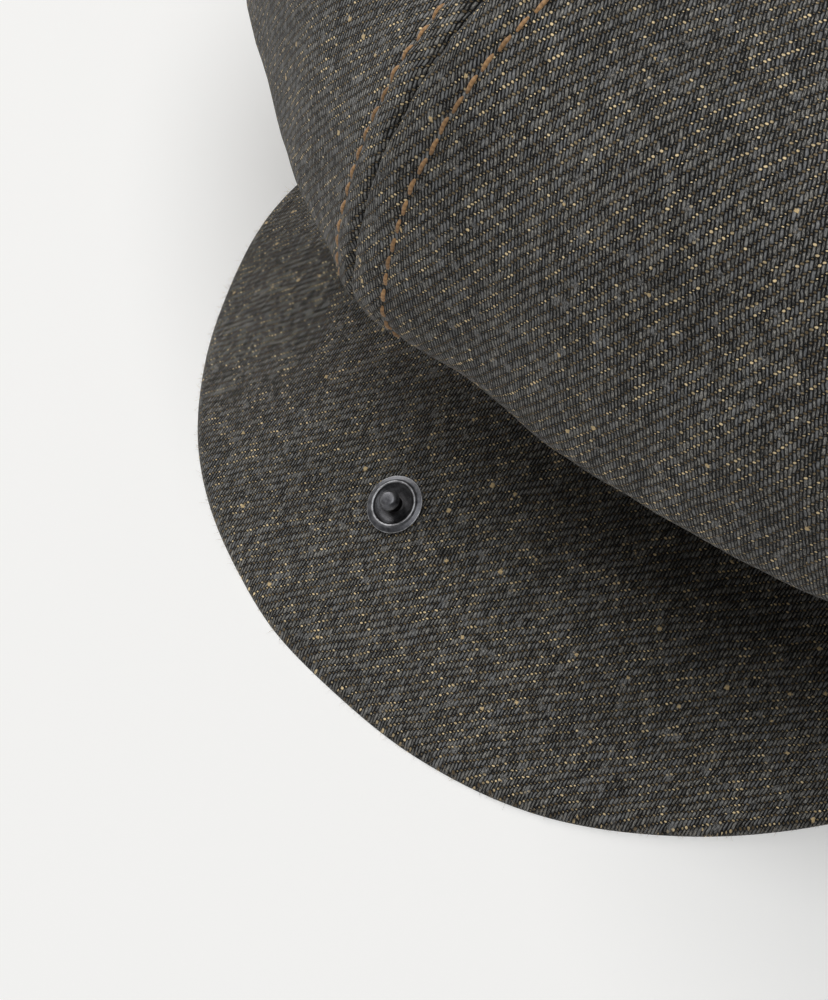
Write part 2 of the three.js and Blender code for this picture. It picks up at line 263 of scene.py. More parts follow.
def smoothstep(value, low, high):
    share = np.clip((value - low) / (high - low), 0, 1)
    return share * share * (3 - 2 * share)


def bell(distance, half_width):
    return np.exp(-((distance / half_width) ** 2))


def wrap_angle(angle):
    return np.arctan2(np.sin(angle), np.cos(angle))


def lerp(low, high, share):
    return low + (high - low) * share


def smooth_table(table, value):
    """A number read from rows of place and number, with a smooth curve through all rows."""
    at, numbers = np.array(table, float).T
    slopes = np.gradient(numbers, at)
    row = np.clip(np.searchsorted(at, value, side="right") - 1, 0, len(at) - 2)
    span = at[row + 1] - at[row]
    share = np.clip((value - at[row]) / span, 0, 1)
    rise = numbers[row + 1] - numbers[row]
    leave, arrive = span * slopes[row], span * slopes[row + 1]
    second = 3 * rise - 2 * leave - arrive
    third = leave + arrive - 2 * rise
    return numbers[row] + share * (leave + share * (second + share * third))


def ripple(x, y, wavelength, seed, waves=6):
    """A smooth, wandering height of about -1 to 1: a sum of sine waves in seeded directions."""
    draw = np.random.default_rng(seed)
    total = np.zeros(np.broadcast(x, y).shape)
    for _ in range(waves):
        turn = draw.uniform(0, 2 * math.pi)
        stretch = draw.uniform(0.6, 1.6) * 2 * math.pi / wavelength
        phase = draw.uniform(0, 2 * math.pi)
        total += np.sin(stretch * (x * math.cos(turn) + y * math.sin(turn)) + phase)
    return total / waves**0.5 / 1.5


def rippled(x, y, table):
    """The sum of ripples from rows of height, length and seed."""
    return sum(height * ripple(x, y, length, seed) for height, length, seed in table)


def swell_at(distance, height, at, half_width):
    return height * bell(distance - at, half_width)


def from_head_plane(x, along, up):
    """A place on the leaning head plane, in the cap's own frame."""
    cos, sin = math.cos(HEAD_TILT), math.sin(HEAD_TILT)
    y = HEAD_Y + along * cos + up * sin
    z = HEAD_Z - along * sin + up * cos
    return np.stack(np.broadcast_arrays(x, y, z), -1)


def round_the_head(distance, azimuth, up):
    """A place on the leaning head plane by its distance and azimuth, which is 0 in front."""
    return from_head_plane(distance * np.sin(azimuth), -distance * np.cos(azimuth), up)


HEAD_UP = np.array([0, math.sin(HEAD_TILT), math.cos(HEAD_TILT)])


def oval_radius(azimuth, half_width, half_length, squareness=2.0):
    across = np.abs(np.sin(azimuth)) / half_width
    along = np.abs(np.cos(azimuth)) / half_length
    return (across**squareness + along**squareness) ** (-1 / squareness)


def unit(vectors):
    return vectors / np.linalg.norm(vectors, axis=-1, keepdims=True)


def add_object(name, data):
    made = bpy.data.objects.new(name, data)
    bpy.context.scene.collection.objects.link(made)
    return made


def make_mesh(name, points, faces, cloth, material, smooth_angle=60):
    """An object from points in mm, faces, and each point's place on the flat cloth in mm."""
    mesh = bpy.data.meshes.new(name)
    mesh.from_pydata((points * MM).tolist(), [], faces)
    if cloth is not None:
        layer = mesh.attributes.new("cloth", "FLOAT_VECTOR", "POINT")
        flat = np.zeros((len(points), 3), np.float32)
        flat[:, :2] = cloth
        layer.data.foreach_set("vector", flat.ravel())
    mesh.polygons.foreach_set("use_smooth", [True] * len(mesh.polygons))
    mesh.set_sharp_from_angle(angle=math.radians(smooth_angle))
    mesh.materials.append(material)
    mesh.update()
    return add_object(name, mesh)


def grid_quads(columns, rows, start=0, flip=False, wrap=False):
    """Quads over a grid of points that run row by row within each column."""
    count = columns if wrap else columns - 1
    c, r = np.meshgrid(np.arange(count), np.arange(rows - 1), indexing="ij")
    here = start + c * rows + r
    there = start + ((c + 1) % columns) * rows + r
    quads = np.stack([here, there, there + 1, here + 1], -1).reshape(-1, 4)
    return quads[:, ::-1] if flip else quads


def wall_faces(columns, rows):
    """The faces of a closed wall: an outer grid, an inner one after it, and four rims."""
    inner = columns * rows
    faces = [grid_quads(columns, rows), grid_quads(columns, rows, inner, flip=True)]
    c = np.arange(columns - 1) * rows
    r = np.arange(rows - 1)
    last_column = (columns - 1) * rows
    for a, step, turned in (
        (c, rows, False),
        (c + rows - 1, rows, True),
        (r, 1, True),
        (r + last_column, 1, False),
    ):
        rim = np.stack([a, a + inner, a + step + inner, a + step], -1)
        faces.append(rim[:, ::-1] if turned else rim)
    return np.concatenate(faces).tolist()


def worn_highlight_share(profile):
    """How far each inner row of a profile bends outward, from 0 to 1 on a sharp edge."""
    step = np.diff(profile, axis=0)
    length = np.linalg.norm(step, axis=1)
    turn = wrap_angle(np.diff(np.arctan2(step[:, 1], step[:, 0])))
    bend = turn / (0.5 * (length[1:] + length[:-1]))
    bend = np.convolve(np.pad(bend, 1, mode="edge"), [0.25, 0.5, 0.25], "valid")
    return smoothstep(bend, *WORN_HIGHLIGHT_BEND)


def turned_mesh(name, profile, place, material, segments=96, cloth_scale=None):
    """A turned piece from rows of radius and height, closed on its axis at both ends."""
    origin, normal = place
    profile = np.array(profile, float)
    axis = unit(normal)
    side = unit(np.cross([0.0, 1.0, 0.0], axis))
    fore = np.cross(axis, side)
    turn = np.arange(segments) / segments * 2 * math.pi
    ring = np.cos(turn)[:, None] * side + np.sin(turn)[:, None] * fore
    body = profile[1:-1]
    points = origin + ring[:, None] * body[None, :, :1] + axis * body[None, :, 1:]
    rows = len(body)
    ends = [origin + axis * profile[0, 1], origin + axis * profile[-1, 1]]
    points = np.concatenate([points.reshape(-1, 3), ends])
    faces = grid_quads(segments, rows, wrap=True).tolist()
    first, last = segments * rows, segments * rows + 1
    for c in range(segments):
        following = (c + 1) % segments
        faces.append([c * rows, first, following * rows])
        faces.append([c * rows + rows - 1, following * rows + rows - 1, last])
    cloth = None
    if cloth_scale:
        local = points - origin
        cloth = np.stack([local @ side, local @ fore], -1) * cloth_scale
    piece = make_mesh(name, points, faces, cloth, material, 40)
    # The worn attribute marks sharp outward edges, which the metal shows brighter: partly edge
    # wear, partly a painted highlight.
    worn = np.concatenate([np.tile(worn_highlight_share(profile), segments), [0, 0]])
    layer = piece.data.attributes.new("worn", "FLOAT", "POINT")
    layer.data.foreach_set("value", worn.astype(np.float32))
    return piece


# Crown

def widest_height(azimuth):
    degrees = np.degrees(np.abs(wrap_angle(azimuth)))
    height = WIDEST_HEIGHT[0][1]
    for (low, low_height), (high, high_height) in zip(WIDEST_HEIGHT, WIDEST_HEIGHT[1:]):
        height = height + (high_height - low_height) * smoothstep(degrees, low, high)
    return height


def crown_section(azimuth):
    """The crown's section at one azimuth: distance out and height, by even stages."""
    front = math.cos(azimuth) > 0
    half_length = CROWN_FRONT_REACH if front else CROWN_BACK_REACH
    reach = oval_radius(azimuth, CROWN_HALF_WIDTH, half_length, CROWN_SQUARENESS)
    start = oval_radius(azimuth, BAND_HALF_WIDTH - BAND_WALL, BAND_HALF_LENGTH - BAND_WALL)
    foot = BAND_HEIGHT + GAP
    widest = widest_height(azimuth)
    turn = np.linspace(0, math.pi / 2, SECTION_STEPS)
    sin, cos = np.sin(turn), np.clip(np.cos(turn), 0, 1)
    out = sin ** (2 / UNDERSIDE_SQUARENESS)
    rise = 1 - cos ** (2 / UNDERSIDE_SQUARENESS)
    sag = UNDERSIDE_SAG * np.sin(math.pi * out) ** 3
    under = np.stack([lerp(start, reach, out), lerp(foot, widest, rise) - sag], -1)
    inward = cos ** (2 / SHOULDER_SQUARENESS)
    up = sin ** (2 / SHOULDER_SQUARENESS)
    top = np.stack([lerp(CROWN_TOP_RADIUS, reach, inward), lerp(widest, CROWN_TOP, up)], -1)
    return under, top


def even_points(line, shares):
    """Points, tangents and lengths so far of a polyline, at shares of its length."""
    steps = np.linalg.norm(np.diff(line, axis=0), axis=1)
    along = np.concatenate([[0], np.cumsum(steps)])
    place = shares * along[-1]
    reach = 0.004 * along[-1]

    def at(distance):
        return np.stack([np.interp(distance, along, line[:, k]) for k in (0, 1)], -1)

    return at(place), unit(at(place + reach) - at(place - reach)), place


def sections_at(azimuths, stages):
    """For each azimuth and stage: the section's point, its outward direction and its arc length."""
    points, outwards, lengths = [], [], []
    below = stages < WIDEST_STAGE
    for azimuth in azimuths:
        under, top = crown_section(azimuth)
        low = even_points(under, stages[below] / WIDEST_STAGE)
        high = even_points(top, (stages[~below] - WIDEST_STAGE) / (1 - WIDEST_STAGE))
        points.append(np.concatenate([low[0], high[0]]))
        tangent = np.concatenate([low[1], high[1]])
        under_length = np.linalg.norm(np.diff(under, axis=0), axis=1).sum()
        outwards.append(np.stack([tangent[:, 1], -tangent[:, 0]], -1))
        lengths.append(np.concatenate([low[2], under_length + high[2]]))
    return np.array(points), np.array(outwards), np.array(lengths)


def fade_at_ends(stage, fade):
    return smoothstep(stage, 0, fade[0]) * smoothstep(1 - stage, 0, fade[1])


def crown_relief(azimuth, stage, distance):
    """How far the cloth stands out of its plain section."""
    to_seam = np.abs(azimuth / PITCH - np.round(azimuth / PITCH)) * PITCH
    ridge = SEAM_RIDGE * bell(to_seam * distance, SEAM_RIDGE_WIDTH)
    sunk = 0
    for angle, at, half_angle, half_stage, depth in DENTS + SOFT_FOLDS:
        turn = wrap_angle(azimuth - math.radians(angle))
        sunk = sunk + depth * bell(turn, math.radians(half_angle)) * bell(stage - at, half_stage)
    shape = ridge * fade_at_ends(stage, RIDGE_FADE) - sunk * fade_at_ends(stage, DENT_FADE)
    stray = smooth_table(FOLD_STRAY, np.degrees(wrap_angle(azimuth)))
    return shape + stray * bell(stage - FOLD_STAGE, FOLD_HALF_STAGE)


def seam_detail(to_seam, length, seam, side):
    """The worked seam: a sunk join, padded allowances, stitch rows and the puckers they draw."""
    row = STITCH_FROM_SEAM[side]
    valley = -JOIN_DEPTH * bell(to_seam, JOIN_HALF_WIDTH)
    padding = PADDING_HEIGHT * smoothstep(to_seam, *PADDING_START)
    padding = padding * smoothstep(row - to_seam, *PADDING_END)
    groove = -GROOVE_DEPTH * bell(to_seam - row, GROOVE_HALF_WIDTH)
    beat = 0.5 + 0.5 * np.cos(2 * math.pi * length / STITCH_PITCH)
    pulled = -PULL_DEPTH * beat * bell(to_seam - row, PULL_HALF_WIDTH)
    seed = SEAM_SEED + 2 * seam + side
    height, wavelength, at, half_width = PUCKER
    pucker = height * ripple(length, 0 * length, wavelength, seed)
    pucker = pucker * bell(to_seam - at, half_width)
    height, wavelength, at, half_width = FINE_PUCKER
    fine = height * ripple(length, to_seam, wavelength, seed + FINE_SEED_STEP)
    fine = fine * bell(to_seam - at, half_width)
    return valley + padding + groove + pulled + pucker + fine


def crown_surface(azimuths, stages, depth=0.0):
    """Points of the crown's cloth for azimuths and stages, and the arc length up to each."""
    section, outward, length = sections_at(azimuths, stages)
    azimuth = np.asarray(azimuths)[:, None]
    stage = stages[None, :]
    distance = section[..., 0]
    relief = crown_relief(azimuth, stage, distance)
    share = azimuth / PITCH
    seam = np.round(share)
    lateral = np.abs(share - seam) * PITCH * distance
    side = (share > seam).astype(int)
    ends = smoothstep(stage, *RELIEF_FOOT) * smoothstep(1 - stage, *RELIEF_TOP)
    for number in np.unique(seam):
        for flank in (0, 1):
            worked = seam_detail(lateral, length, int(number) % PANEL_COUNT, flank)
            relief = relief + np.where((seam == number) & (side == flank), worked * ends, 0)
    x = distance * np.sin(azimuth)
    y = distance * np.cos(azimuth)
    relief = relief + rippled(x, y + CROWN_WAVE_RISE * section[..., 1], CROWN_WAVES) * ends
    offset = relief - depth
    out = distance + outward[..., 0] * offset
    up = section[..., 1] + outward[..., 1] * offset
    return round_the_head(out, azimuth, up), length


def panel_fractions():
    """Shares across a panel, closer together beside its two seams."""
    even = 0.2
    t = np.arange(PANEL_HALF_STEPS + 1) / PANEL_HALF_STEPS
    half = 0.5 * (even * t + (1 - even) * t**3)
    return np.concatenate([half, (1 - half[:-1])[::-1]])


def crown_stages():
    under = np.linspace(0, WIDEST_STAGE, UNDERSIDE_ROWS, endpoint=False)
    top = WIDEST_STAGE + (1 - WIDEST_STAGE) * np.linspace(0, 1, TOP_ROWS)
    return np.concatenate([under, top])


def turned_grain(x, y, angle):
    """Flat cloth places, turned so that the second one runs along the warp."""
    cos, sin = math.cos(angle), math.sin(angle)
    return np.stack([x * cos + y * sin, -x * sin + y * cos], -1)


def crown_panel(number, material):
    sliver = 0.0004
    shares = np.clip(panel_fractions(), sliver, 1 - sliver)
    azimuths = PITCH * (number - 1 + shares)
    stages = crown_stages()
    outer, length = crown_surface(azimuths, stages)
    inner, _ = crown_surface(azimuths, stages, CROWN_WALL)
    widths = np.cumsum(np.linalg.norm(np.diff(outer, axis=0), axis=-1), axis=0)
    widths = np.concatenate([np.zeros((1, len(stages))), widths])
    from_centre = widths - widths[len(azimuths) // 2]
    along = length + PANEL_CLOTH_STEP * number
    cloth = turned_grain(from_centre, along, PANEL_GRAIN).reshape(-1, 2)
    points = np.concatenate([outer.reshape(-1, 3), inner.reshape(-1, 3)])
    faces = wall_faces(len(azimuths), len(stages))
    name = f"panel_{number}_cloth"
    piece = make_mesh(name, points, faces, np.concatenate([cloth, cloth]), material)
    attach(piece, "root")
    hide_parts(f"crown_panel_{number}")


def tube(path, radii, normals, sides=6):
    """Points and faces of one short closed thread along a path."""
    tangent = unit(np.gradient(path, axis=0))
    across = unit(np.cross(tangent, normals))
    up = np.cross(across, tangent)
    turn = np.arange(sides) / sides * 2 * math.pi
    rings = (
        path[:, None]
        + radii[:, None, None] * np.cos(turn)[None, :, None] * across[:, None]
        + radii[:, None, None] * np.sin(turn)[None, :, None] * up[:, None]
    )
    count = len(path)
    faces = []
    for ring in range(count - 1):
        for k in range(sides):
            a, b = ring * sides + k, ring * sides + (k + 1) % sides
            faces.append([a, b, b + sides, a + sides])
    faces.append(list(range(sides))[::-1])
    faces.append(list(range((count - 1) * sides, count * sides)))
    return rings.reshape(-1, 3), faces


def joined(parts):
    """The points and faces of several small meshes as those of one."""
    points, faces, start = [], [], 0
    for part_points, part_faces in parts:
        points.append(part_points)
        faces += [[index + start for index in face] for face in part_faces]
        start += len(part_points)
    return np.concatenate(points), faces


def seam_stitching(number, material):
    """The two rows of topstitching beside one seam, as short threads that dive into the cloth."""
    seam_angle = PITCH * (number - 1)
    steps = len(STITCH_SHAPE)
    lift, thickness = np.array(STITCH_SHAPE).T
    radii = STITCH_RADIUS * thickness
    fine_stages = np.linspace(*STITCHED_STAGES, 2400)
    threads, cloth = [], []
    for side, row in zip((-1, 1), STITCH_FROM_SEAM):
        draw = np.random.default_rng(STITCH_SEED + 2 * number + side)
        section, _, length = sections_at([seam_angle], fine_stages)
        distance = section[0, :, 0]
        offset = row + ROW_SWAY * np.sin(length[0] / ROW_SWAY_STEP + number)
        usable = distance * math.sin(PITCH / 2) > offset + ROW_END_SPACE
        first, last = length[0][usable].min(), length[0][usable].max()
        for begin in np.arange(first + 1, last - STITCH_PITCH, STITCH_PITCH):
            begin = begin + draw.normal(0, STITCH_START_SPREAD)
            run = begin + STITCH_LENGTH * np.linspace(0, 1, steps)
            stages = np.interp(run, length[0], fine_stages)
            across = np.interp(run, length[0], offset) + draw.normal(0, STITCH_SIDE_SPREAD)
            reach = np.interp(run, length[0], distance)
            azimuths = seam_angle + side * across / reach
            place, normal = surface_points(azimuths, stages)
            path = place + normal * lift[:, None]
            thread = tube(path, radii * draw.uniform(*STITCH_SIZES), normal)
            threads.append(thread)
            flat = np.repeat(np.stack([across * 0, run], -1), len(thread[0]) // steps, axis=0)
            cloth.append(flat + [side * THREAD_ROWS_APART, 0])
    points, faces = joined(threads)
    piece = make_mesh(f"stitching_{number}", points, faces, np.concatenate(cloth), material)
    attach(piece, "root")


def surface_points(azimuths, stages):
    """Places on the crown's outer face at the middle azimuth, and the one normal for them all."""
    step_angle, step_stage = 0.004, 0.002
    middle = len(stages) // 2
    base_azimuth, base_stage = azimuths[middle], stages[middle]
    around, _ = crown_surface(
        [base_azimuth - step_angle, base_azimuth, base_azimuth + step_angle],
        np.array([base_stage - step_stage, base_stage, base_stage + step_stage]),
    )
    side = around[2, 1] - around[0, 1]
    rise = around[1, 2] - around[1, 0]
    normal = unit(np.cross(side, rise))
    line, _ = crown_surface([base_azimuth], stages)
    return line[0], normal


# Band

def band_section():
    """The band's section, with rounded corners: rows of inset from the outer face and height."""
    corner, margin = 0.9, 3
    quarter = np.linspace(0, math.pi / 2, 5)
    side = np.linspace(margin, BAND_HEIGHT - margin, 14)
    section = []
    for at, up, start in (
        (0, 0, math.pi),
        (0, BAND_HEIGHT, math.pi / 2),
        (BAND_WALL, BAND_HEIGHT, 0),
        (BAND_WALL, 0, -math.pi / 2),
    ):
        centre = (
            at + (corner if at == 0 else -corner),
            up + (corner if up == 0 else -corner),
        )
        section += [
            (centre[0] + corner * math.cos(t), centre[1] + corner * math.sin(t))
            for t in start - quarter + math.pi / 2
        ]
        if at == 0 and up == 0:
            section += [(0, height) for height in side]
        if at > 0 and up > 0:
            section += [(BAND_WALL, height) for height in side[::-1]]
    return np.array(section)


def headband(material):
    azimuth = (np.arange(BAND_COLUMNS) / BAND_COLUMNS * 2 * math.pi)[:, None]
    section = band_section()
    inset, up = section[None, :, 0], section[None, :, 1]
    radius = oval_radius(azimuth, BAND_HALF_WIDTH - inset, BAND_HALF_LENGTH - inset)
    along = azimuth * (BAND_HALF_WIDTH + BAND_HALF_LENGTH) / 2
    middle = np.sin(math.pi * np.clip(up / BAND_HEIGHT, 0, 1))
    radius = radius + rippled(along, BAND_WAVE_SQUEEZE * up, BAND_WAVES) * middle
    points = round_the_head(radius, azimuth, up + 0 * radius)
    points[..., 2] = np.maximum(points[..., 2], 0)
    rows = len(section)
    flat = points.reshape(-1, 3)
    quads = grid_quads(BAND_COLUMNS, rows, wrap=True)
    c = np.arange(BAND_COLUMNS) * rows
    following = np.roll(c, -1)
    closing = np.stack([c + rows - 1, following + rows - 1, following, c], -1)
    faces = np.concatenate([quads, closing]).tolist()
    cloth = np.stack([np.broadcast_to(along, radius.shape), up + 0 * radius], -1)
    piece = make_mesh("band_cloth", flat, faces, cloth.reshape(-1, 2), material)
    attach(piece, "root")
    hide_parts("band")


# Peak

def peak_top(across, out):
    """A point of the peak's upper face, before the cloth's own waves."""
    across, out = np.broadcast_arrays(across, out)
    seam_angle = across * PEAK_SEAM_SPREAD
    seam_radius = oval_radius(seam_angle, BAND_HALF_WIDTH + GAP, BAND_HALF_LENGTH + GAP)
    seam = round_the_head(seam_radius, seam_angle, PEAK_SEAM_HEIGHT)
    edge_angle = across * PEAK_EDGE_SPREAD
    power = 2 / PEAK_SQUARENESS
    sideways = np.sign(across) * np.abs(np.sin(edge_angle)) ** power
    forward = np.sign(np.cos(edge_angle)) * np.abs(np.cos(edge_angle)) ** power
    length = np.where(
        forward > 0, PEAK_TIP_FROM_HEAD - PEAK_WIDEST_FROM_HEAD, PEAK_HORN_LENGTH
    )
    horn = from_head_plane(0.0, -BAND_HALF_LENGTH * math.cos(PEAK_SEAM_SPREAD), 0.0)[2]
    climb = smoothstep(np.abs(edge_angle), *PEAK_CLIMB)
    x = PEAK_HALF_WIDTH * sideways
    y = HEAD_Y - PEAK_WIDEST_FROM_HEAD - length * forward
    z = PEAK_EDGE_HEIGHT + horn * climb
    point = lerp(seam, np.stack([x, y, z], -1), out[..., None])
    point[..., 2] += PEAK_BELLY * np.sin(math.pi * out) * (1 - np.abs(across))
    return point


def peak_normal(across, out):
    step = 0.01
    a = np.clip(across, step - 1, 1 - step)
    o = np.clip(out, step, 1 - step)
    side = peak_top(a + step, o) - peak_top(a - step, o)
    fore = peak_top(a, o + step) - peak_top(a, o - step)
    return unit(np.cross(fore, side))


def stud_place():
    outs = np.linspace(0, 1, 4001)
    line = peak_top(0 * outs, outs)
    best = outs[np.argmin(np.abs(HEAD_Y - line[:, 1] - STUD_FROM_HEAD))]
    return peak_top(0.0, best), peak_normal(0.0, best)


def peak_cloth_place(points, stud):
    """Flat cloth places on the peak, unrolled from its arch, with the grain turned."""
    local = points - stud
    u = PEAK_ARCH_RADIUS * np.arcsin(np.clip(local[..., 0] / PEAK_ARCH_RADIUS, -0.99, 0.99))
    v = local[..., 1] * math.cos(PEAK_SLOPE) + local[..., 2] * math.sin(PEAK_SLOPE)
    return turned_grain(u, v, PEAK_GRAIN)


def edge_outward(across):
    """The level direction from the peak's seam to its sewn edge."""
    reach = peak_top(across, np.ones_like(across)) - peak_top(across, np.zeros_like(across))
    return unit(reach * [1.0, 1.0, 0.0])


def peak_piece(material, stud):
    across = np.linspace(1, -1, PEAK_COLUMNS)[:, None]
    share = np.linspace(0, 1, PEAK_ROWS)[None, :]
    out = 1 - (1 - share) ** PEAK_ROW_EASING
    across, out = np.broadcast_arrays(across, out)
    top = peak_top(across, out)
    normal = peak_normal(across, out)
    drop = PEAK_WALL / np.maximum(normal @ HEAD_UP, PEAK_STEEPEST)
    edge = peak_top(across, np.ones_like(out))
    from_edge = np.linalg.norm(edge - top, axis=-1)
    rim_radius = PEAK_WALL * RIM_SHARE_OF_WALL
    rim = np.sqrt(np.clip(1 - np.clip(1 - from_edge / rim_radius, 0, 1) ** 2, 0, 1))
    calm = smoothstep(from_edge, *CALM_EDGE) * smoothstep(out, *CALM_SEAM)
    wave = rippled(top[..., 0], top[..., 1], PEAK_WAVES) * calm
    dimple = swell_at(np.linalg.norm(top - stud, axis=-1), *STUD_DIMPLE)
    edge_swell = swell_at(from_edge, *EDGE_RIDGE) + swell_at(from_edge, *EDGE_GROOVE)
    swell = (wave + dimple + edge_swell)[..., None] * HEAD_UP
    stray = smooth_table(EDGE_STRAY, across) * smoothstep(out, *EDGE_STRAY_FADE)
    top = top + edge_outward(across) * stray[..., None]
    middle = top - HEAD_UP * (drop / 2)[..., None]
    half = HEAD_UP * (drop / 2 * rim)[..., None]
    upper = middle + half + swell
    lower = middle - half + LOWER_FACE_WAVE_SHARE * wave[..., None] * HEAD_UP
    lower[..., 2] = np.maximum(lower[..., 2], 0)
    upper[..., 2] = np.maximum(upper[..., 2], 0.01)
    points = np.concatenate([upper.reshape(-1, 3), lower.reshape(-1, 3)])
    cloth = peak_cloth_place(top, stud).reshape(-1, 2)
    cloth = np.concatenate([cloth, cloth + LOWER_FACE_CLOTH_STEP])
    faces = wall_faces(PEAK_COLUMNS, PEAK_ROWS)
    piece = make_mesh("peak_cloth", points, faces, cloth, material, 70)
    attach(piece, "root")
    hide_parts("peak")


def edge_fuzz(material):
    """Loose fibres that stand out of the peak's sewn edge."""
    draw = np.random.default_rng(FUZZ_SEED)
    across = draw.uniform(-FUZZ_SPREAD, FUZZ_SPREAD, FUZZ_COUNT)
    outward = edge_outward(across)
    along_edge = np.cross(outward, [0.0, 0.0, 1.0])
    inset = smooth_table(EDGE_STRAY, across) - FUZZ_INSET
    roots = peak_top(across, np.ones_like(across)) + outward * inset[:, None]
    roots = roots - HEAD_UP * draw.uniform(*FUZZ_DEPTH, FUZZ_COUNT)[:, None]
    lean = along_edge * draw.uniform(*FUZZ_LEAN, FUZZ_COUNT)[:, None]
    headings = unit(outward + lean + HEAD_UP * draw.uniform(*FUZZ_RISE, FUZZ_COUNT)[:, None])
    curls = draw.normal(0, FUZZ_CURL, (FUZZ_COUNT, 3))
    lengths = draw.uniform(*FUZZ_LENGTH, FUZZ_COUNT)
    shares, thickness = np.array(FUZZ_TAPER).T
    shares = shares[:, None]
    radii = FUZZ_RADIUS * thickness
    seen_from = [0.3, 0.2, 1.0]
    fibres = []
    for root, heading, curl, length in zip(roots, headings, curls, lengths):
        path = root + length * (heading * shares + curl * shares**2)
        path[:, 2] = np.maximum(path[:, 2], 2 * FUZZ_RADIUS)
        fibres.append(tube(path, radii, seen_from, 3))
    points, faces = joined(fibres)
    piece = make_mesh("peak_edge_fuzz", points, faces, points[:, :2], material)
    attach(piece, "root")


# Fasteners and button

def rounded(profile, steps=4, share=0.3):
    """A profile with each inner corner replaced by a short curve."""
    profile = [np.array(row, float) for row in profile]
    result = [profile[0]]
    for before, corner, after in zip(profile, profile[1:], profile[2:]):
        start = lerp(corner, before, share)
        end = lerp(corner, after, share)
        for t in np.linspace(0, 1, steps):
            result.append(lerp(lerp(start, corner, t), lerp(corner, end, t), t))
    result.append(profile[-1])
    return np.array(result)


# Rows of radius and height.
STUD_PROFILE = [
    (0, -0.1),
    (5.4, -0.1),
    (5.62, 0.1),
    (5.6, 0.26),
    (5.4, 0.34),
    (4.75, 0.56),
    (4.56, 0.78),
    (4.34, 0.94),
    (4.1, 0.86),
    (3.85, 0.56),
    (3.3, 0.24),
    (2.5, 0.06),
    (1.6, 0.04),
    (1.42, 0.3),
    (1.4, 1.6),
    (1.75, 2.1),
    (2.02, 2.5),
    (1.96, 2.9),
    (1.66, 3.36),
    (1.36, 3.64),
    (1.1, 3.76),
    (0, 3.86),
]
SOCKET_PROFILE = [
    (0, -0.4),
    (5.3, -0.4),
    (5.5, 0.4),
    (5.2, 1.1),
    (4.0, 1.9),
    (3.5, 2.8),
    (2.4, 2.9),
    (2.0, 2.5),
    (2.0, 1.1),
    (0, 1.1),
]


def snap_pieces(metal, stud, normal):
    """The stud on top of the peak, and the plain cap of its rivet below."""
    base = stud + normal * GAP
    piece = turned_mesh("stud_ring_and_post", rounded(STUD_PROFILE), (base, normal), metal)
    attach(piece, "root")
    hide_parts("snap_stud")

    face = -PEAK_WALL - 2 * GAP
    back = [(0, face - 1.2), (4.4, face - 1.2), (5.4, face - 0.7), (5.5, face), (1.3, face)]
    back += [(1.3, -GAP), (0, -GAP)]
    piece = turned_mesh("stud_back_cap", rounded(back), (stud, normal), metal)
    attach(piece, "root")
    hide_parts("snap_back")


def socket_piece(metal):
    """The plain female half, sewn under the crown's front."""
    section, outward, _ = sections_at([0.0], np.array([SOCKET_STAGE]))
    (out, up), (outward_out, outward_up) = section[0, 0], outward[0, 0]
    relief = crown_relief(0.0, SOCKET_STAGE, out)
    out, up = out + outward_out * relief, up + outward_up * relief
    foot = from_head_plane(0.0, -out, up)
    ahead = from_head_plane(0.0, -out - outward_out, up + outward_up)
    normal = unit(ahead - foot)
    piece = turned_mesh("socket_ring", rounded(SOCKET_PROFILE), (foot, normal), metal)
    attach(piece, "root")
    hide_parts("snap_socket")


def button_piece(material):
    inset, wall, fullness, stretch = 0.8, 0.4, 0.6, 1.15
    dome = [
        (BUTTON_RADIUS * math.cos(t) ** fullness, lerp(wall, BUTTON_HEIGHT, math.sin(t)))
        for t in np.linspace(0, math.pi / 2, 16)[:-1]
    ]
    profile = [(0, 0.0), (BUTTON_RADIUS - inset, 0.0)] + dome + [(0, BUTTON_HEIGHT)]
    foot = from_head_plane(0.0, 0.0, CROWN_TOP + GAP)
    piece = turned_mesh("button_cloth", profile, (foot, HEAD_UP), material, 72, stretch)
    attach(piece, "root")
    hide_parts("top_button")


# Materials

